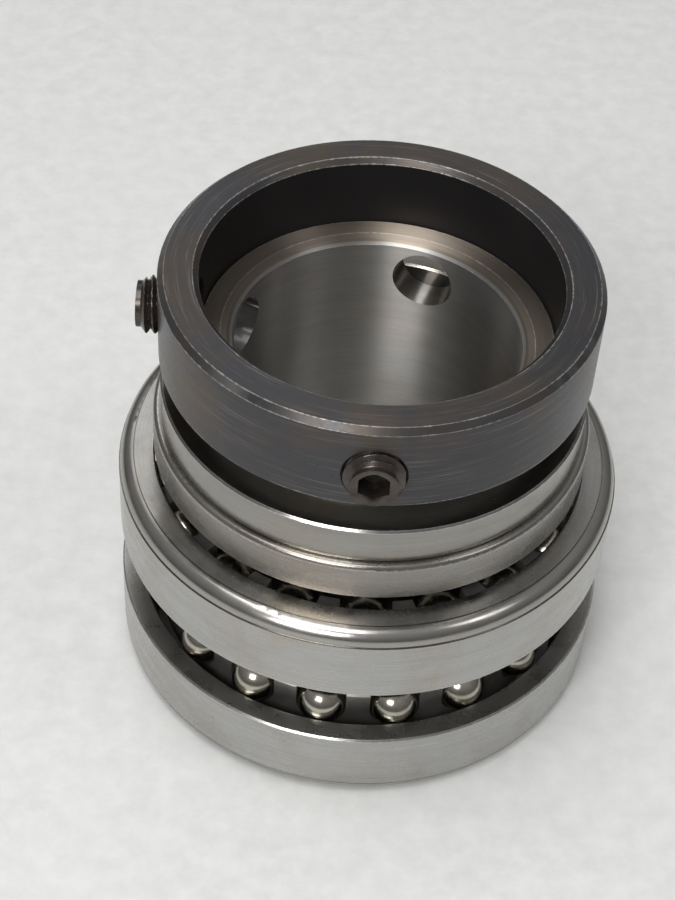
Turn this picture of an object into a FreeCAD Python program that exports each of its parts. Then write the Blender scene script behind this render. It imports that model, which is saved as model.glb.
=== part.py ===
"""Double-direction angular-contact thrust ball bearing on a flanged sleeve, with a
set-screw lock collar.  All parts stand loosely stacked: the lower outer ring has
dropped to the surface below its ball row, the upper outer ring rests on its own
ball row, and the collar stands a little above the top spacer ring.

Frame: millimetres, +Z up along the shaft axis, origin on that axis in the plane of
the flange's underside.  One set screw points along -Y and the other along -X.
"""
import FreeCAD, Part
import math
import os

from FreeCAD import Placement, Rotation, Vector

UP = Vector(0, 0, 1)

# ---- driving dimensions ---------------------------------------------------------

# Fits between pieces.
FIT_GAP = 0.08               # radial clearance of rings and collar on the sleeve
BALL_GAP = 0.10              # clearance left between a ball and each raceway
POCKET_GAP = 0.15            # clearance each side of a ball in its cage slot
THREAD_GAP = 0.05            # radial clearance of a set screw in its tapped hole

# Shaft bore and sleeve.
BORE_RADIUS = 31.75
SLEEVE_RADIUS = 38.89
SLEEVE_TOP = 90.4
FLANGE_RADIUS = 44.1
FLANGE_HEIGHT = 6.0
SLEEVE_HOLE_RADIUS = 7.15
SLEEVE_HOLE_HEIGHT = 80.6
SLEEVE_HOLE_AZIMUTHS = (71.0, 161.0)
MOUTH_FLAT_RADIUS = 34.3     # where the flat end face gives way to the bore's lead-in
MOUTH_LIP_RADIUS = 32.8      # where the shallow lead-in turns into the bore chamfer
MOUTH_LIP_DROP = 0.35

# Ball rows.
BALL_RADIUS = 11.1125 / 2
BALLS_PER_ROW = 18
PITCH_RADIUS = 46.5
LOWER_ROW_HEIGHT = 20.0
UPPER_ROW_HEIGHT = 48.75
LOWER_ROW_PHASE = 1.0        # azimuth of each row's first ball, degrees
UPPER_ROW_PHASE = 11.0
CONTACT_ANGLE = 60.0         # from the radial plane, degrees
GROOVE_RADIUS = 5.78         # raceway section radius, 52 % of the ball diameter

# Outer rings: both are the same part, the upper one with its back face up.
OUTER_RADIUS = 57.15
OUTER_RING_HEIGHT = 19.8
OUTER_LIP_RADIUS = 48.9
BACK_TO_BALLS = 7.15         # back face to ball centres when the ring is seated
BACK_CORNER_RADIUS = 3.1
GRINDING_STEP = 0.25         # ledge where the ground faces meet the turned corner
FRONT_CHAMFER = 0.4

# Inner rings: shoulders meet half way between the two ball rows.
SHOULDER_RADIUS = 44.1

# Cages: a rim below each ball row with straight-sided slots open at the top.
CAGE_INNER_RADIUS = 44.6
CAGE_OUTER_RADIUS = 48.4
CAGE_RIM_HEIGHT = 3.6
PRONG_HEIGHT = 4.8           # prong tips above the ball centres

# Rings stacked on the upper inner ring.
CLAMP_RING_BASE = 59.4
CLAMP_RING_TOP = 69.1
CLAMP_RING_RADIUS = 49.15
CLAMP_RING_ROUND = 1.1
SPACER_RING_TOP = 78.3
SPACER_RING_RADIUS = 47.4

# Lock collar.
COLLAR_BASE = 85.4
COLLAR_HEIGHT = 22.2
COLLAR_RADIUS = 47.625
COLLAR_EDGE = 1.3
COLLAR_BORE_EDGE = 1.2

# Set screws, 1/2-13 with a 1/4 inch hexagon socket and a cup point.
SCREW_RADIUS = 6.35
SCREW_PITCH = 25.4 / 13
SCREW_THREAD_DEPTH = 1.2
SCREW_THREAD_START = 0.07    # share of the pitch from a crest's middle to its flank
SCREW_NOSE_RADIUS = 5.05     # plain outer end, from which the first flank rises
SCREW_NOSE_LENGTH = 1.1
SCREW_LENGTH = 11.1125
SCREW_HEIGHT = 94.9
SCREW_POINT_RADIUS = 3.5
SCREW_CUP_LAND = 0.3         # width of the flat rim round the cup
SOCKET_FLATS = 6.35
SOCKET_DEPTH = 5.0
SOCKET_LEAD_IN = 0.6         # how far the conical mouth reaches past the hexagon's corners
CUP_DEPTH = 1.2
SCREW_AZIMUTHS = {"set_screw_front": -90.0, "set_screw_side": 180.0}
SCREW_STAND_OUT = {"set_screw_front": 3.3, "set_screw_side": 4.6}  # beyond the collar
SCREW_HOLE_EDGE = 0.5

SMALL_EDGE = 0.45            # edge break on the rings where nothing else is stated

FIT_RADIUS = SLEEVE_RADIUS + FIT_GAP
MIDDLE_HEIGHT = (LOWER_ROW_HEIGHT + UPPER_ROW_HEIGHT) / 2
# Radial and axial parts of the shift from a ball's centre to its raceway's centre.
GROOVE_OFFSET = GROOVE_RADIUS - BALL_RADIUS - BALL_GAP
GROOVE_IN = GROOVE_OFFSET * math.cos(math.radians(CONTACT_ANGLE))
GROOVE_ALONG = GROOVE_OFFSET * math.sin(math.radians(CONTACT_ANGLE))


# ---- building blocks ------------------------------------------------------------

def unit(vector):
    """The vector at length one."""
    return vector * (1 / vector.Length)


def section_edges(corners):
    """Edges of a closed outline in the XZ half-plane.

    Each corner is (radius, height), or (radius, height, "bevel" or "round", size) to
    cut it back by size along both neighbouring sides.
    """
    points = [Vector(corner[0], 0, corner[1]) for corner in corners]
    joints = []
    for i, corner in enumerate(corners):
        point = points[i]
        if len(corner) == 2:
            joints.append((point, None, point))
            continue
        size = corner[3]
        before = unit(points[i - 1] - point)
        after = unit(points[(i + 1) % len(points)] - point)
        middle = None
        if corner[2] == "round":
            inward = before + after
            centre = point + inward * size
            middle = centre - unit(inward) * size
        joints.append((point + before * size, middle, point + after * size))
    edges = []
    for i, (start, middle, end) in enumerate(joints):
        if middle is not None:
            edges.append(Part.Arc(start, middle, end).toShape())
        elif (end - start).Length > 1e-6:
            edges.append(Part.LineSegment(start, end).toShape())
        following = joints[(i + 1) % len(joints)][0]
        if (following - end).Length > 1e-6:
            edges.append(Part.LineSegment(end, following).toShape())
    return edges


def turned(corners):
    """The solid that an outline makes when it is turned about the shaft axis."""
    face = Part.Face(Part.Wire(section_edges(corners)))
    return face.revolve(Vector(0, 0, 0), UP, 360)


def about_axis(shape, azimuth):
    """A copy of the shape, turned about the shaft axis from +X to the azimuth."""
    copy = shape.copy()
    copy.rotate(Vector(0, 0, 0), UP, azimuth)
    return copy


def row_azimuths(phase):
    """Azimuth of every ball in a row."""
    return [phase + 360 * i / BALLS_PER_ROW for i in range(BALLS_PER_ROW)]


# ---- raceways and rolling parts -------------------------------------------------

def raceway(height, radial_side, axial_side):
    """The torus that cuts a raceway, for a contact on the given sides of the ball."""
    radius = PITCH_RADIUS - radial_side * GROOVE_IN
    centre = height - axial_side * GROOVE_ALONG
    return Part.makeTorus(radius, GROOVE_RADIUS, Vector(0, 0, centre), UP)


def outer_ring():
    """The outer ring with its back face up at height 0 and its front face below."""
    front = -OUTER_RING_HEIGHT
    corner = BACK_CORNER_RADIUS
    ledge = GRINDING_STEP
    land = PITCH_RADIUS - GROOVE_IN + GROOVE_RADIUS
    groove_height = -BACK_TO_BALLS - GROOVE_ALONG
    blank = turned([
        (OUTER_LIP_RADIUS, 0, "bevel", SMALL_EDGE),
        (OUTER_RADIUS - corner - ledge, 0),
        (OUTER_RADIUS - corner - ledge, -ledge),
        (OUTER_RADIUS - ledge, -ledge, "round", corner),
        (OUTER_RADIUS - ledge, -ledge - corner - ledge),
        (OUTER_RADIUS, -ledge - corner - ledge),
        (OUTER_RADIUS, front, "bevel", FRONT_CHAMFER),
        (land, front, "bevel", SMALL_EDGE),
        (land, groove_height),
        (OUTER_LIP_RADIUS, groove_height),
    ])
    return blank.cut(raceway(-BACK_TO_BALLS, 1, 1))


def inner_ring(outer_end, row_height):
    """An inner ring from the middle plane to its outer end, with one raceway."""
    away = 1 if outer_end > MIDDLE_HEIGHT else -1
    land = PITCH_RADIUS + GROOVE_IN - GROOVE_RADIUS
    groove_height = row_height + away * GROOVE_ALONG
    blank = turned([
        (FIT_RADIUS, MIDDLE_HEIGHT),
        (SHOULDER_RADIUS, MIDDLE_HEIGHT, "bevel", SMALL_EDGE),
        (SHOULDER_RADIUS, groove_height),
        (land, groove_height),
        (land, outer_end, "bevel", SMALL_EDGE),
        (FIT_RADIUS, outer_end, "bevel", SMALL_EDGE),
    ])
    return blank.cut(raceway(row_height, -1, -away))


def cage(row_height, phase):
    """A one-piece cage: a rim with a prong standing up between each two balls."""
    slot_radius = BALL_RADIUS + POCKET_GAP
    base = row_height - slot_radius - CAGE_RIM_HEIGHT
    tip = row_height + PRONG_HEIGHT
    ring = turned([
        (CAGE_INNER_RADIUS, base, "bevel", SMALL_EDGE),
        (CAGE_OUTER_RADIUS, base, "bevel", SMALL_EDGE),
        (CAGE_OUTER_RADIUS, tip, "bevel", SMALL_EDGE),
        (CAGE_INNER_RADIUS, tip, "bevel", SMALL_EDGE),
    ])
    depth = 2 * (CAGE_OUTER_RADIUS - CAGE_INNER_RADIUS)
    start = CAGE_INNER_RADIUS - depth / 4
    outward = Vector(1, 0, 0)
    bottom = Part.makeCylinder(slot_radius, depth, Vector(start, 0, row_height), outward)
    mouth = Part.makeBox(depth, 2 * slot_radius, 2 * PRONG_HEIGHT,
                         Vector(start, -slot_radius, row_height))
    slot = bottom.fuse(mouth).removeSplitter()
    slots = [about_axis(slot, azimuth) for azimuth in row_azimuths(phase)]
    return ring.cut(slots)


def ball(row_height, azimuth):
    """One ball of a row."""
    centre = Vector(PITCH_RADIUS, 0, row_height)
    return about_axis(Part.makeSphere(BALL_RADIUS, centre), azimuth)


# ---- sleeve, stacked rings and collar -------------------------------------------

def adapter_sleeve():
    """The flanged sleeve, with two holes that let the set screws reach the shaft."""
    bore_edge = MOUTH_LIP_RADIUS - BORE_RADIUS
    sleeve = turned([
        (BORE_RADIUS, 0, "bevel", bore_edge),
        (FLANGE_RADIUS, 0, "bevel", SMALL_EDGE),
        (FLANGE_RADIUS, FLANGE_HEIGHT, "bevel", SMALL_EDGE),
        (SLEEVE_RADIUS, FLANGE_HEIGHT),
        (SLEEVE_RADIUS, SLEEVE_TOP, "bevel", SMALL_EDGE),
        (MOUTH_FLAT_RADIUS, SLEEVE_TOP),
        (MOUTH_LIP_RADIUS, SLEEVE_TOP - MOUTH_LIP_DROP),
        (BORE_RADIUS, SLEEVE_TOP - MOUTH_LIP_DROP - bore_edge),
    ])
    hole = Part.makeCylinder(SLEEVE_HOLE_RADIUS, 2 * SLEEVE_RADIUS,
                             Vector(0, 0, SLEEVE_HOLE_HEIGHT), Vector(1, 0, 0))
    return sleeve.cut([about_axis(hole, azimuth) for azimuth in SLEEVE_HOLE_AZIMUTHS])


def clamp_ring():
    """The ring on top of the upper inner ring, with a rounded upper edge."""
    return turned([
        (FIT_RADIUS, CLAMP_RING_BASE, "bevel", SMALL_EDGE),
        (CLAMP_RING_RADIUS, CLAMP_RING_BASE, "bevel", SMALL_EDGE),
        (CLAMP_RING_RADIUS, CLAMP_RING_TOP, "round", CLAMP_RING_ROUND),
        (FIT_RADIUS, CLAMP_RING_TOP, "bevel", SMALL_EDGE),
    ])


def spacer_ring():
    """The square-section ring between the clamp ring and the collar."""
    return turned([
        (FIT_RADIUS, CLAMP_RING_TOP, "bevel", SMALL_EDGE),
        (SPACER_RING_RADIUS, CLAMP_RING_TOP, "bevel", SMALL_EDGE),
        (SPACER_RING_RADIUS, SPACER_RING_TOP, "bevel", SMALL_EDGE),
        (FIT_RADIUS, SPACER_RING_TOP, "bevel", SMALL_EDGE),
    ])


def lock_collar():
    """The collar, tapped through its wall for each set screw."""
    top = COLLAR_BASE + COLLAR_HEIGHT
    collar = turned([
        (FIT_RADIUS, COLLAR_BASE, "bevel", COLLAR_BORE_EDGE),
        (COLLAR_RADIUS, COLLAR_BASE, "bevel", COLLAR_EDGE),
        (COLLAR_RADIUS, top, "bevel", COLLAR_EDGE),
        (FIT_RADIUS, top, "bevel", COLLAR_BORE_EDGE),
    ])
    hole_radius = SCREW_RADIUS + THREAD_GAP
    outward = Vector(1, 0, 0)
    centre = Vector(0, 0, SCREW_HEIGHT)
    hole = Part.makeCylinder(hole_radius, 2 * COLLAR_RADIUS, centre, outward)
    # The cone's axial start allows for the fall of the round surface at the hole's rim.
    fall = COLLAR_RADIUS - math.sqrt(COLLAR_RADIUS ** 2 - hole_radius ** 2)
    depth = SCREW_HOLE_EDGE + fall
    mouth = Part.makeCone(hole_radius, hole_radius + 2 * depth, 2 * depth,
                          centre + outward * (COLLAR_RADIUS - depth), outward)
    tool = hole.fuse(mouth)
    return collar.cut([about_axis(tool, azimuth) for azimuth in SCREW_AZIMUTHS.values()])


# ---- set screws -----------------------------------------------------------------

def screw_section():
    """Outline of a set screw standing on its point, with its thread as V grooves."""
    point_length = SCREW_RADIUS - SCREW_POINT_RADIUS
    root = SCREW_RADIUS - SCREW_THREAD_DEPTH
    corners = [
        (0, CUP_DEPTH),
        (SCREW_POINT_RADIUS - SCREW_CUP_LAND, 0),
        (SCREW_POINT_RADIUS, 0),
        (SCREW_RADIUS, point_length),
    ]
    first_crest = SCREW_LENGTH - SCREW_NOSE_LENGTH - SCREW_PITCH / 2
    grooves = int((first_crest - point_length) / SCREW_PITCH)
    half_crest = SCREW_PITCH * SCREW_THREAD_START
    for turn in range(grooves, 0, -1):
        crest = first_crest - turn * SCREW_PITCH
        corners.append((SCREW_RADIUS, crest + half_crest))
        corners.append((root, crest + SCREW_PITCH / 2))
        corners.append((SCREW_RADIUS, crest + SCREW_PITCH - half_crest))
    corners.append((SCREW_RADIUS, first_crest + half_crest))
    corners.append((root, SCREW_LENGTH - SCREW_NOSE_LENGTH))
    corners.append((SCREW_NOSE_RADIUS, SCREW_LENGTH))
    corners.append((0, SCREW_LENGTH))
    return corners


def hexagon_socket():
    """The key socket with its conical mouth, cut from the screw's outer end."""
    corner = SOCKET_FLATS / math.sqrt(3)
    floor = SCREW_LENGTH - SOCKET_DEPTH
    points = []
    for i in range(7):
        angle = math.radians(60 * i)
        points.append(Vector(corner * math.cos(angle), corner * math.sin(angle), floor))
    key = Part.Face(Part.makePolygon(points)).extrude(UP * 2 * SOCKET_DEPTH)
    mouth = Part.makeCone(corner - SOCKET_LEAD_IN, corner + SOCKET_LEAD_IN, 2 * SOCKET_LEAD_IN,
                          Vector(0, 0, SCREW_LENGTH - 1.5 * SOCKET_LEAD_IN), UP)
    return key.fuse(mouth)


def set_screw(name):
    """A set screw in its place in the collar."""
    screw = turned(screw_section()).cut(hexagon_socket())
    inner_end = COLLAR_RADIUS + SCREW_STAND_OUT[name] - SCREW_LENGTH
    lay_down = Rotation(UP, Vector(1, 0, 0))
    screw.Placement = Placement(Vector(inner_end, 0, SCREW_HEIGHT), lay_down)
    return about_axis(screw, SCREW_AZIMUTHS[name])


# ---- the assembly ---------------------------------------------------------------

def build_nodes():
    """Every piece of the bearing by name."""
    upper_ring = outer_ring()
    upper_ring.translate(UP * (UPPER_ROW_HEIGHT + BACK_TO_BALLS))
    lower_ring = outer_ring()
    lower_ring.rotate(Vector(0, 0, 0), Vector(1, 0, 0), 180)
    nodes = {
        "adapter_sleeve": adapter_sleeve(),
        "lower_inner_ring": inner_ring(FLANGE_HEIGHT, LOWER_ROW_HEIGHT),
        "upper_inner_ring": inner_ring(CLAMP_RING_BASE, UPPER_ROW_HEIGHT),
        "lower_outer_ring": lower_ring,
        "upper_outer_ring": upper_ring,
        "lower_cage": cage(LOWER_ROW_HEIGHT, LOWER_ROW_PHASE),
        "upper_cage": cage(UPPER_ROW_HEIGHT, UPPER_ROW_PHASE),
        "clamp_ring": clamp_ring(),
        "spacer_ring": spacer_ring(),
        "lock_collar": lock_collar(),
    }
    for row, height, phase in (("lower", LOWER_ROW_HEIGHT, LOWER_ROW_PHASE),
                               ("upper", UPPER_ROW_HEIGHT, UPPER_ROW_PHASE)):
        for i, azimuth in enumerate(row_azimuths(phase)):
            nodes[f"{row}_ball_{i + 1:02d}"] = ball(height, azimuth)
    for name in SCREW_AZIMUTHS:
        nodes[name] = set_screw(name)
    return nodes


os.makedirs("parts", exist_ok=True)
for name, shape in build_nodes().items():
    shape.exportStep(f"parts/{name}.step")
    print(f"{name}: valid {shape.isValid()}, {len(shape.Solids)} solid, {shape.Volume:.1f} mm3")
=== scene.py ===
"""Looks of the double-direction thrust ball bearing: its finishes, its detailed set
screws, and the table, lights and camera that show it.  Metres, in the CAD frame.
"""
import math

import bpy
from mathutils import Matrix, Vector


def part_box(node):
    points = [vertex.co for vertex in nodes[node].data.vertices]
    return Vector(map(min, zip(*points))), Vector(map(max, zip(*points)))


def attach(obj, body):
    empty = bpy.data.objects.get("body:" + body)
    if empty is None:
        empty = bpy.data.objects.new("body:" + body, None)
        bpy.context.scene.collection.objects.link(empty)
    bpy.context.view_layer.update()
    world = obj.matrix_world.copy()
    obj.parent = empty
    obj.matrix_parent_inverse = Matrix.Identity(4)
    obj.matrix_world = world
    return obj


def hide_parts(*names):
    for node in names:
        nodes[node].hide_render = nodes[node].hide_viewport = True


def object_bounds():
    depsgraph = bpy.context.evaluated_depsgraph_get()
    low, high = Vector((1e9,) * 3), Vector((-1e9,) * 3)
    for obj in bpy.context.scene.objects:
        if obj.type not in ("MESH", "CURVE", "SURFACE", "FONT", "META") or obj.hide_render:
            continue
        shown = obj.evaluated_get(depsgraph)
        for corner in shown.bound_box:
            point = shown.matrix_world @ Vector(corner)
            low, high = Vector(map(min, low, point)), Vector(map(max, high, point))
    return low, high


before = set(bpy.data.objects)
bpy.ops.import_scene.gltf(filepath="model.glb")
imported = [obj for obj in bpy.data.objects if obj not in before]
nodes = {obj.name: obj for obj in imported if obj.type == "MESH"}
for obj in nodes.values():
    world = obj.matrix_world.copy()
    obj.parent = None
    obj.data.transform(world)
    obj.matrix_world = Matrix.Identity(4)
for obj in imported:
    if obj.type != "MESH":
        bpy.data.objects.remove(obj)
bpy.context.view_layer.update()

SAME_PLACE = 0.00001         # vertices nearer than this lie in one plane or on one wall
BLEND = 0.00008              # half the width over which one finish gives way to another
SHADE_LINE_WIDTH = 0.00022         # reach of the painted shade line in a ground step
STEEL_WEAR = 0.00022         # widest reach of the bright wear on a steel edge
OXIDE_WEAR = 0.00026         # and on an edge of the black collar
WEAR_BLEND = 0.0001
ACROSS_THE_LAY = 0.25        # quarter turn, which stretches highlights across the lines

# Camera: level distance from the shaft axis, height above the table, aim in degrees.
CAMERA_AZIMUTH = -92.0
CAMERA_DISTANCE = 0.31886
CAMERA_HEIGHT = 0.37652
CAMERA_PITCH = 45.38
CAMERA_YAW = -1.266
CAMERA_ROLL = 3.939
CAMERA_LENS = 78.72

# Stained end face of the sleeve: outside this radius, down to this depth.
MOUTH_RADIUS = 0.0323
STAIN_DEPTH = 0.001

# Set screws: thread and socket proportions of a 1/2-13 screw.
THREAD_PITCH = 0.0254 / 13
THREAD_DEPTH = 0.0012
THREAD_CREST = 0.14          # share of the pitch that stays flat on the crest
THREAD_PHASE = 0.3           # turns by which the thread's start is turned round the screw
NOSE_RADIUS = 0.00505        # plain outer end, from which the first flank rises
NOSE_LENGTH = 0.0011
NOSE_SLOPE = 1.3
SCREW_STEPS = 96             # points round the screw, a multiple of six
ROWS_PER_TURN = 20
POINT_RADIUS = 0.0035
CUP_LAND = 0.0003            # width of the flat rim round the cup
CUP_DEPTH = 0.0012
SOCKET_FLATS = 0.00635
SOCKET_DEPTH = 0.005
SOCKET_MOUTH = 0.0041        # radius of the socket's conical mouth at the end face
SOCKET_MOUTH_SLOPE = 0.6     # depth of that mouth for each unit that it narrows
SOCKET_DRILL = 0.0009        # depth of the drill point in the socket's floor
SHARP_EDGE = 40              # degrees between two faces from which their edge is crisp

# Stage: the table, and what the sky gives from just below the horizon to overhead.
TABLE_HALF = 3.0
TABLE_GAP = 0.00005          # keeps the table's face clear of the rings that stand on it
HORIZON = -0.1
HORIZON_GLOW = 0.08
OVERHEAD_GLOW = 0.42


# ---- frame measures ---------------------------------------------------------------

def profile(node):
    """(distance from the shaft axis, height) of each of a CAD node's vertices."""
    return [(math.hypot(v.co.x, v.co.y), v.co.z) for v in nodes[node].data.vertices]


def edge_circles(node):
    """Circles (radius, height) that bound a ring's end faces, bore and outer wall."""
    points = profile(node)
    circles = []
    for axis in (0, 1):
        for pick in (min, max):
            limit = pick(point[axis] for point in points)
            on_face = [point for point in points if abs(point[axis] - limit) < SAME_PLACE]
            circles.append(min(on_face, key=lambda point: point[1 - axis]))
            circles.append(max(on_face, key=lambda point: point[1 - axis]))
    return sorted(set((round(radius, 6), round(height, 6)) for radius, height in circles))


def face_limit(node, top):
    """(outer radius, height) of a ring's flat end face at its top or bottom."""
    points = profile(node)
    level = (max if top else min)(height for _, height in points)
    return max(radius for radius, height in points if abs(height - level) < SAME_PLACE), level


def corner_seams(node, top):
    """Circles where a ring's turned corner meets its end face and its outer wall."""
    points = profile(node)
    outer = max(radius for radius, _ in points)
    wall = [height for radius, height in points if abs(radius - outer) < SAME_PLACE]
    return [face_limit(node, top), (outer, max(wall) if top else min(wall))]


def turned_corner(node, top):
    """Mask maker for the turned corner between a ring's end face and its outer wall."""
    face_edge, wall_edge = corner_seams(node, top)
    return lambda g: g.zone(face_edge[0], wall_edge[1], below=not top)


# ---- node graph helpers -----------------------------------------------------------

class Graph:
    """A material's node tree, with short ways to add and join nodes."""

    def __init__(self, name):
        self.material = bpy.data.materials.new(name)
        self.material.use_nodes = True
        self.tree = self.material.node_tree
        self.tree.nodes.clear()
        self.place = self.add("ShaderNodeTexCoord").outputs["Object"]
        parts = self.add("ShaderNodeSeparateXYZ", {0: self.place})
        self.height = parts.outputs["Z"]
        flat = self.joined(parts.outputs["X"], parts.outputs["Y"])
        self.radius = self.vector("LENGTH", flat, output="Value")
        self.around = self.vector("NORMALIZE", flat)

    def add(self, kind, inputs=None, **settings):
        """A new node; an input is linked where its value is a socket, and set elsewhere."""
        node = self.tree.nodes.new(kind)
        for key, value in settings.items():
            setattr(node, key, value)
        for key, value in (inputs or {}).items():
            if isinstance(value, bpy.types.NodeSocket):
                self.tree.links.new(value, node.inputs[key])
            else:
                node.inputs[key].default_value = value
        return node

    def math(self, operation, first, second):
        return self.add("ShaderNodeMath", {0: first, 1: second}, operation=operation).outputs[0]

    def vector(self, operation, first, second=None, output="Vector"):
        inputs = {0: first} if second is None else {0: first, 1: second}
        return self.add("ShaderNodeVectorMath", inputs, operation=operation).outputs[output]

    def joined(self, x, y):
        """The vector (x, y, 0)."""
        return self.add("ShaderNodeCombineXYZ", {"X": x, "Y": y}).outputs[0]

    def scaled(self, vector, size):
        node = self.add("ShaderNodeVectorMath", {0: vector, "Scale": size}, operation="SCALE")
        return node.outputs["Vector"]

    def noise(self, vector, scale, detail=3.0, roughness=0.55, distortion=0.0):
        inputs = {"Vector": vector, "Scale": scale, "Detail": detail, "Roughness": roughness,
                  "Distortion": distortion}
        return self.add("ShaderNodeTexNoise", inputs).outputs["Fac"]

    def span(self, value, low, high, to_low=0.0, to_high=1.0):
        """The value carried from low..high to to_low..to_high, and held there outside."""
        inputs = {0: value, 1: low, 2: high, 3: to_low, 4: to_high}
        return self.add("ShaderNodeMapRange", inputs, clamp=True).outputs[0]

    def mixed(self, share, first, second):
        """The first colour giving way to the second as the share goes from 0 to 1."""
        inputs = {"Factor": share}
        node = self.add("ShaderNodeMix", inputs, data_type="RGBA")
        for socket, colour in ((node.inputs[6], first), (node.inputs[7], second)):
            if isinstance(colour, bpy.types.NodeSocket):
                self.tree.links.new(colour, socket)
            else:
                socket.default_value = (*colour, 1)
        return node.outputs[2]

    def lathe_vector(self, fineness, drift=1.0):
        """Coordinates that change fast across a turned surface and slowly round it."""
        across = self.math("MULTIPLY", self.math("ADD", self.radius, self.height), fineness)
        lift = self.add("ShaderNodeCombineXYZ", {"Z": across}).outputs[0]
        return self.vector("ADD", self.scaled(self.around, drift), lift)

    def nearest(self, circles):
        """Distance to the nearest of the given circles (radius, height)."""
        closest = None
        for radius, height in circles:
            out = self.math("SUBTRACT", self.radius, radius)
            up = self.math("SUBTRACT", self.height, height)
            gap = self.vector("LENGTH", self.joined(out, up), output="Value")
            closest = gap if closest is None else self.math("MINIMUM", closest, gap)
        return closest

    def seam(self, circles):
        """1 close to the given circles, in an even narrow line of painted shade."""
        return self.span(self.nearest(circles), SHADE_LINE_WIDTH, SHADE_LINE_WIDTH / 2)

    def edge_wear(self, edges, reach, seed):
        """1 on the given circles (radius, height), fading out unevenly over the reach."""
        shifted = self.vector("ADD", self.place, (seed, seed, seed))
        chips = self.noise(shifted, 900, 5, 0.75)
        patches = self.noise(shifted, 60, 2, 0.5)
        patchy = self.span(patches, 0.36, 0.62, 0.15, 1.0)
        width = self.math("MULTIPLY", self.span(chips, 0.4, 0.66), patchy)
        limit = self.math("MULTIPLY", width, reach)
        beyond = self.math("SUBTRACT", self.nearest(edges), limit)
        return self.span(beyond, WEAR_BLEND, -WEAR_BLEND)

    def zone(self, radius_from, height_from, below=False):
        """1 beyond a radius and above a height, or below it, with a narrow blend."""
        low, high = (BLEND, -BLEND) if below else (-BLEND, BLEND)
        outside = self.span(self.math("SUBTRACT", self.radius, radius_from), -BLEND, BLEND)
        level = self.span(self.math("SUBTRACT", self.height, height_from), low, high)
        return self.math("MULTIPLY", outside, level)

    def bump(self, height, distance, strength, normal=None):
        """A surface relief, laid over another one where its normal is given."""
        inputs = {"Height": height, "Distance": distance, "Strength": strength}
        if normal is not None:
            inputs["Normal"] = normal
        return self.add("ShaderNodeBump", inputs).outputs[0]

    def finish(self, colour, roughness, normal, **constants):
        """Joins everything to the shader; constants are set on its own sockets."""
        shader = self.add("ShaderNodeBsdfPrincipled", {
            "Base Color": colour, "Roughness": roughness, "Normal": normal})
        for name, value in constants.items():
            shader.inputs[name.replace("_", " ")].default_value = value
        if constants.get("Anisotropic"):
            shader.inputs["Anisotropic Rotation"].default_value = ACROSS_THE_LAY
            tangent = self.add("ShaderNodeTangent", direction_type="RADIAL", axis="Z")
            self.tree.links.new(tangent.outputs[0], shader.inputs["Tangent"])
        output = self.add("ShaderNodeOutputMaterial", {"Surface": shader.outputs[0]})
        output.is_active_output = True
        return self.material


# ---- finishes ---------------------------------------------------------------------

def ground_steel(name, base, stain, rough, edges=(), lines=2600, stain_share=0.5,
                 anisotropy=0.6, seed=0.0, special=None, shaded_steps=(), smeared=1.0):
    """Steel ground or turned on a lathe, with fine lines round it and a thin oil film.

    special is (mask maker, colour, roughness) for a part of the piece that differs, and
    shaded_steps are circles (radius, height) along which a thin dark line of painted shade lies in a
    step.  smeared is how unevenly the film lies.
    """
    g = Graph(name)
    fine = g.noise(g.lathe_vector(lines, 3.0), 1.0, 4, 0.65)
    coarse = g.noise(g.lathe_vector(lines * 0.12, 1.2), 1.0, 2, 0.5)
    shifted = g.vector("ADD", g.place, (seed, 0.0, seed))
    film = g.noise(shifted, 38, 4, 0.6, 0.6)
    smears = g.noise(g.vector("MULTIPLY", shifted, (1.0, 1.0, 2.6)), 130, 4, 0.6)
    scuffs = g.noise(g.lathe_vector(lines * 0.5, 14.0), 1.0, 2, 0.6)
    oiled = g.math("MULTIPLY", g.span(film, 0.48, 0.74), stain_share)
    colour = g.mixed(oiled, base, stain)
    roughness = g.math("ADD", g.span(smears, 0.3, 0.75, -0.04 * smeared, 0.09 * smeared), rough)
    if special is not None:
        mask_maker, special_colour, special_rough = special
        mask = mask_maker(g)
        colour = g.mixed(mask, colour, special_colour)
        change = g.math("MULTIPLY", mask, special_rough - rough)
        roughness = g.math("ADD", roughness, change)
    colour = g.scaled(colour, g.span(fine, 0.25, 0.75, 0.86, 1.06))
    colour = g.scaled(colour, g.span(coarse, 0.3, 0.7, 0.94, 1.03))
    if edges:
        worn = g.edge_wear(edges, STEEL_WEAR, seed)
        colour = g.mixed(g.math("MULTIPLY", worn, 0.6), colour, (0.82, 0.81, 0.79))
    # painted shade: a thin dark line along the given steps of the ring
    if shaded_steps:
        colour = g.mixed(g.math("MULTIPLY", g.seam(shaded_steps), 0.85), colour, (0.03, 0.026, 0.02))
    marks = g.span(scuffs, 0.68, 0.78)
    roughness = g.math("ADD", roughness, g.math("MULTIPLY", marks, 0.12))
    relief = g.bump(fine, 0.000008, 0.5)
    return g.finish(colour, roughness, relief, Metallic=1.0, Anisotropic=anisotropy)


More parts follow.
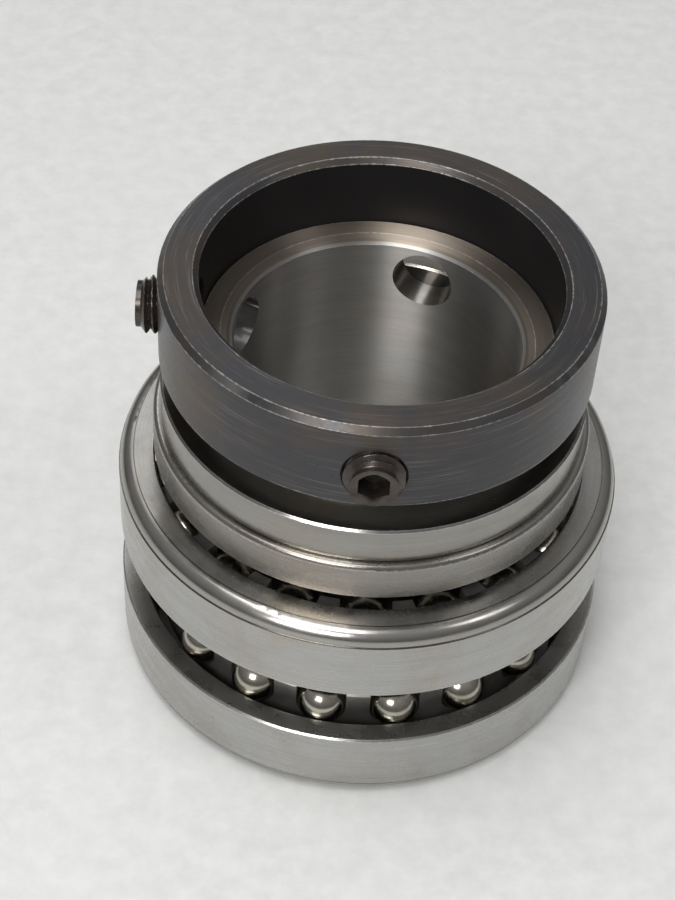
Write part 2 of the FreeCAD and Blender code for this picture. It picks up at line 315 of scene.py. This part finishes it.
def black_oxide(name, edges, bore):
    """Blackened steel with turning lines, a brown cast, worn edges and a darker, plain bore."""
    g = Graph(name)
    fine = g.noise(g.lathe_vector(3000, 2.2), 1.0, 4, 0.7)
    coarse = g.noise(g.lathe_vector(650, 1.4), 1.0, 3, 0.6)
    cloud = g.noise(g.place, 40, 4, 0.6, 0.4)
    speckle = g.noise(g.place, 1500, 3, 0.6)
    brown = g.span(cloud, 0.42, 0.66)
    base = g.mixed(brown, (0.055, 0.055, 0.06), (0.085, 0.068, 0.054))
    scratches = g.math("MULTIPLY", g.span(fine, 0.52, 0.7), g.span(coarse, 0.42, 0.62))
    lined = g.mixed(g.math("MULTIPLY", scratches, 0.7), base, (0.24, 0.225, 0.21))
    # the bore wall is made darker and plain, without the turning lines
    inside = g.span(g.math("SUBTRACT", g.radius, bore), 2 * BLEND, 0.0)
    lined = g.mixed(inside, lined, (0.032, 0.03, 0.031))
    worn = g.edge_wear(edges, OXIDE_WEAR, 3.7)
    colour = g.mixed(g.math("MULTIPLY", worn, 0.55), lined, (0.55, 0.54, 0.52))
    texture = g.span(speckle, 0.3, 0.7, -0.04, 0.06)
    roughness = g.math("ADD", texture, g.span(cloud, 0.3, 0.7, 0.3, 0.38))
    relief = g.bump(coarse, 0.00003, 0.4)
    relief = g.bump(fine, 0.000015, 0.6, relief)
    relief = g.bump(g.math("MULTIPLY", worn, -1.0), 0.00005, 0.6, relief)
    return g.finish(colour, roughness, relief, Metallic=0.6, Anisotropic=0.5)


def pressed_cage():
    """Phosphated cage steel, a little rubbed."""
    g = Graph("cage_finish")
    grain = g.noise(g.place, 900, 5, 0.7)
    cloud = g.noise(g.place, 90, 3, 0.6)
    colour = g.mixed(g.span(cloud, 0.35, 0.7), (0.27, 0.26, 0.245), (0.42, 0.4, 0.37))
    roughness = g.span(grain, 0.3, 0.7, 0.34, 0.5)
    return g.finish(colour, roughness, g.bump(grain, 0.00003, 0.4), Metallic=0.85)


def polished_ball():
    """Lapped chrome steel under a thin film of oil, with faint handling marks."""
    g = Graph("ball_finish")
    marks = g.noise(g.place, 260, 4, 0.6, 0.5)
    haze = g.noise(g.place, 1400, 3, 0.6)
    colour = g.mixed(g.span(marks, 0.45, 0.75), (0.5, 0.475, 0.41), (0.36, 0.33, 0.27))
    texture = g.span(marks, 0.4, 0.75, 0.15, 0.2)
    roughness = g.math("ADD", texture, g.span(haze, 0.4, 0.7, 0.0, 0.03))
    return g.finish(colour, roughness, g.bump(haze, 0.000004, 0.15), Metallic=1.0)


def oxide_screw():
    """Heat-blackened alloy screw with a brown bloom."""
    g = Graph("screw_finish")
    grain = g.noise(g.place, 1300, 4, 0.65)
    cloud = g.noise(g.place, 260, 3, 0.6)
    colour = g.mixed(g.span(cloud, 0.35, 0.7), (0.05, 0.045, 0.042), (0.1, 0.078, 0.066))
    roughness = g.span(grain, 0.3, 0.7, 0.2, 0.3)
    return g.finish(colour, roughness, g.bump(grain, 0.00001, 0.3), Metallic=0.7)


def dress(node, material):
    """Gives a CAD node one finish in place of its own."""
    mesh = nodes[node].data
    mesh.materials.clear()
    mesh.materials.append(material)


# ---- set screws -------------------------------------------------------------------

def socket_radius(angle):
    """Distance from the screw's axis to the wall of its hexagon socket."""
    sixth = math.pi / 3
    return SOCKET_FLATS / 2 / math.cos(((angle + sixth / 2) % sixth) - sixth / 2)


def thread_radius(along, angle, length, major):
    """Radius of the threaded surface, which a single-start helix cuts back."""
    turn = (along / THREAD_PITCH - angle / (2 * math.pi) + THREAD_PHASE) % 1.0
    flank = max(0.0, 1 - abs(2 * turn - 1) - THREAD_CREST) / (1 - THREAD_CREST)
    threaded = major - THREAD_DEPTH * flank
    point_end = POINT_RADIUS + along
    outer_end = NOSE_RADIUS + max(0.0, length - along - NOSE_LENGTH) * NOSE_SLOPE
    return min(threaded, point_end, outer_end)


def screw_loops(length, major):
    """Rings of (radius, distance along) for each angle, from the cup to the socket floor."""
    angles = [2 * math.pi * (i + 0.5) / SCREW_STEPS for i in range(SCREW_STEPS)]
    rows = round(length / THREAD_PITCH * ROWS_PER_TURN)
    loops = [[(POINT_RADIUS - CUP_LAND, 0.0)] * SCREW_STEPS]
    for row in range(rows + 1):
        along = length * row / rows
        loops.append([(thread_radius(along, angle, length, major), along) for angle in angles])
    walls = [socket_radius(angle) for angle in angles]
    loops.append([(SOCKET_MOUTH, length)] * SCREW_STEPS)
    loops.append([(wall, length - (SOCKET_MOUTH - wall) * SOCKET_MOUTH_SLOPE) for wall in walls])
    loops.append([(wall, length - SOCKET_DEPTH) for wall in walls])
    return angles, loops


def detailed_screw(name, node, outward):
    """A set screw with a helical thread, in the place and size of its CAD node."""
    low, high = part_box(node)
    size = high - low
    axial = max(range(3), key=lambda i: abs(outward[i]))
    length = size[axial]
    major = size.z / 2
    centre = (low + high) / 2
    start = centre - outward * (length / 2)
    up = Vector((0, 0, 1))
    side = up.cross(outward)
    angles, loops = screw_loops(length, major)
    points = [start + outward * CUP_DEPTH]
    for loop in loops:
        for angle, (radius, along) in zip(angles, loop):
            spoke = side * math.cos(angle) + up * math.sin(angle)
            points.append(start + outward * along + spoke * radius)
    points.append(start + outward * (length - SOCKET_DEPTH - SOCKET_DRILL))
    last = len(points) - 1
    faces = []
    for i in range(SCREW_STEPS):
        following = (i + 1) % SCREW_STEPS
        faces.append((0, 1 + following, 1 + i))
        for row in range(len(loops) - 1):
            base = 1 + row * SCREW_STEPS
            faces.append((base + i, base + following,
                          base + SCREW_STEPS + following, base + SCREW_STEPS + i))
        base = 1 + (len(loops) - 1) * SCREW_STEPS
        faces.append((base + i, base + following, last))
    mesh = bpy.data.meshes.new(name)
    mesh.from_pydata(points, [], faces)
    mesh.polygons.foreach_set("use_smooth", [True] * len(mesh.polygons))
    mesh.set_sharp_from_angle(angle=math.radians(SHARP_EDGE))
    mesh.update()
    screw = bpy.data.objects.new(name, mesh)
    bpy.context.scene.collection.objects.link(screw)
    return screw


# ---- stage ------------------------------------------------------------------------

def table_top():
    """A pale laminate table with a faint mottle."""
    g = Graph("table_finish")
    mottle = g.noise(g.place, 160, 5, 0.65)
    patches = g.noise(g.place, 22, 3, 0.5)
    pale = g.mixed(g.span(mottle, 0.35, 0.65), (0.72, 0.725, 0.71), (0.8, 0.8, 0.785))
    colour = g.mixed(g.span(patches, 0.4, 0.7, 0.0, 0.4), pale, (0.77, 0.775, 0.765))
    material = g.finish(colour, g.span(mottle, 0.3, 0.7, 0.45, 0.6), g.bump(mottle, 0.0001, 0.2),
                        Metallic=0.0)
    corners = [(TABLE_HALF * x, TABLE_HALF * y, 0) for x, y in ((-1, -1), (1, -1), (1, 1), (-1, 1))]
    mesh = bpy.data.meshes.new("table")
    mesh.from_pydata(corners, [], [(0, 1, 2, 3)])
    mesh.materials.append(material)
    table = bpy.data.objects.new("table", mesh)
    table.location.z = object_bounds()[0].z - TABLE_GAP
    bpy.context.scene.collection.objects.link(table)


def soft_light(name, place, aim, width, height, power):
    """A rectangular studio light that points from place to aim."""
    lamp = bpy.data.lights.new(name, "AREA")
    lamp.shape = "RECTANGLE"
    lamp.size = width
    lamp.size_y = height
    lamp.energy = power
    light = bpy.data.objects.new(name, lamp)
    light.location = place
    light.rotation_euler = (Vector(aim) - Vector(place)).to_track_quat("-Z", "Y").to_euler()
    bpy.context.scene.collection.objects.link(light)


def room_glow():
    """A grey room that brightens overhead."""
    world = bpy.data.worlds.new("room")
    bpy.context.scene.world = world
    world.use_nodes = True
    tree = world.node_tree
    tree.nodes.clear()
    place = tree.nodes.new("ShaderNodeTexCoord")
    split = tree.nodes.new("ShaderNodeSeparateXYZ")
    ramp = tree.nodes.new("ShaderNodeMapRange")
    glow = tree.nodes.new("ShaderNodeBackground")
    output = tree.nodes.new("ShaderNodeOutputWorld")
    ramp.inputs["From Min"].default_value = HORIZON
    ramp.inputs["From Max"].default_value = 1.0
    ramp.inputs["To Min"].default_value = HORIZON_GLOW
    ramp.inputs["To Max"].default_value = OVERHEAD_GLOW
    tree.links.new(place.outputs["Generated"], split.inputs[0])
    tree.links.new(split.outputs["Z"], ramp.inputs["Value"])
    tree.links.new(ramp.outputs[0], glow.inputs["Color"])
    tree.links.new(glow.outputs[0], output.inputs[0])


def camera():
    """The camera, looking down over the bearing from the front."""
    pitch, yaw, roll = (math.radians(a) for a in (CAMERA_PITCH, CAMERA_YAW, CAMERA_ROLL))
    forward = Vector((math.sin(yaw), math.cos(yaw), 0))
    ahead = forward * math.cos(pitch) - Vector((0, 0, math.sin(pitch)))
    level = Vector((math.cos(yaw), -math.sin(yaw), 0))
    above = level.cross(ahead)
    right = math.cos(roll) * level + math.sin(roll) * above
    up = -math.sin(roll) * level + math.cos(roll) * above
    axes = Matrix((right, up, -ahead)).transposed().to_4x4()
    place = Matrix.Translation((0, -CAMERA_DISTANCE, CAMERA_HEIGHT))
    turn = Matrix.Rotation(math.radians(CAMERA_AZIMUTH + 90), 4, "Z")
    data = bpy.data.cameras.new("camera")
    data.lens = CAMERA_LENS
    eye = bpy.data.objects.new("camera", data)
    eye.matrix_world = turn @ place @ axes
    bpy.context.scene.collection.objects.link(eye)
    bpy.context.scene.camera = eye


# ---- the bearing ------------------------------------------------------------------

for node in nodes.values():
    node.data.polygons.foreach_set("use_smooth", [True] * len(node.data.polygons))

corner_look = ((0.4, 0.385, 0.36), 0.2)
# painted shade: each outer ring gets a thin dark line along the steps of its turned corner; on the
# lower ring it runs along the table as a painted contact shadow
for node, top, stain, rough, seed in (("upper_outer_ring", True, (0.38, 0.31, 0.22), 0.24, 1.3),
                                      ("lower_outer_ring", False, (0.34, 0.29, 0.24), 0.26, 2.1)):
    dress(node, ground_steel(
        node + "_finish", (0.46, 0.455, 0.44), stain, rough, edge_circles(node), seed=seed,
        special=(turned_corner(node, top), *corner_look), shaded_steps=corner_seams(node, top)))
inner_steel = ground_steel("inner_ring_finish", (0.46, 0.45, 0.43), (0.34, 0.29, 0.22), 0.2)
dress("lower_inner_ring", inner_steel)
dress("upper_inner_ring", inner_steel)
dress("clamp_ring", ground_steel(
    "clamp_ring_finish", (0.34, 0.325, 0.305), (0.29, 0.245, 0.19), 0.25, edge_circles("clamp_ring"),
    lines=3400, seed=4.4))
dress("spacer_ring", ground_steel(
    "spacer_ring_finish", (0.34, 0.33, 0.31), (0.3, 0.25, 0.18), 0.2, edge_circles("spacer_ring"),
    lines=3000, seed=5.2))
sleeve_top = face_limit("adapter_sleeve", True)[1]
dress("adapter_sleeve", ground_steel(
    "sleeve_finish", (0.47, 0.455, 0.435), (0.38, 0.32, 0.25), 0.42, edge_circles("adapter_sleeve"),
    lines=2400, anisotropy=1.0, seed=6.8, smeared=0.2,
    special=(lambda g: g.zone(MOUTH_RADIUS, sleeve_top - STAIN_DEPTH), (0.3, 0.255, 0.21), 0.42)))
collar_bore = min(radius for radius, _ in profile("lock_collar"))
dress("lock_collar", black_oxide("collar_finish", edge_circles("lock_collar"), collar_bore))
cage_finish = pressed_cage()
dress("lower_cage", cage_finish)
dress("upper_cage", cage_finish)
ball_finish = polished_ball()
for name in nodes:
    if "_ball_" in name:
        dress(name, ball_finish)

screw_finish = oxide_screw()
for node, body, outward in (("set_screw_front", "front_screw", Vector((0, -1, 0))),
                            ("set_screw_side", "side_screw", Vector((-1, 0, 0)))):
    screw = detailed_screw(node + "_threaded", node, outward)
    screw.data.materials.append(screw_finish)
    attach(screw, body)
    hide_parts(node)

table_top()
room_glow()
soft_light("ceiling", (-0.2, -0.1, 1.3), (-0.2, -0.1, 0), 0.5, 0.9, 6.9)
soft_light("window", (-0.38, -0.98, 1.0), (0, 0, 0.06), 0.6, 0.45, 8.2)
soft_light("far_lamp", (0.6, -0.2, 1.1), (0, 0, 0.05), 0.3, 0.3, 1.0)
soft_light("back_wall", (-0.25, 0.95, 1.0), (0, 0, 0.05), 0.6, 0.5, 0.8)
camera()
bpy.context.scene.view_settings.view_transform = "Standard"
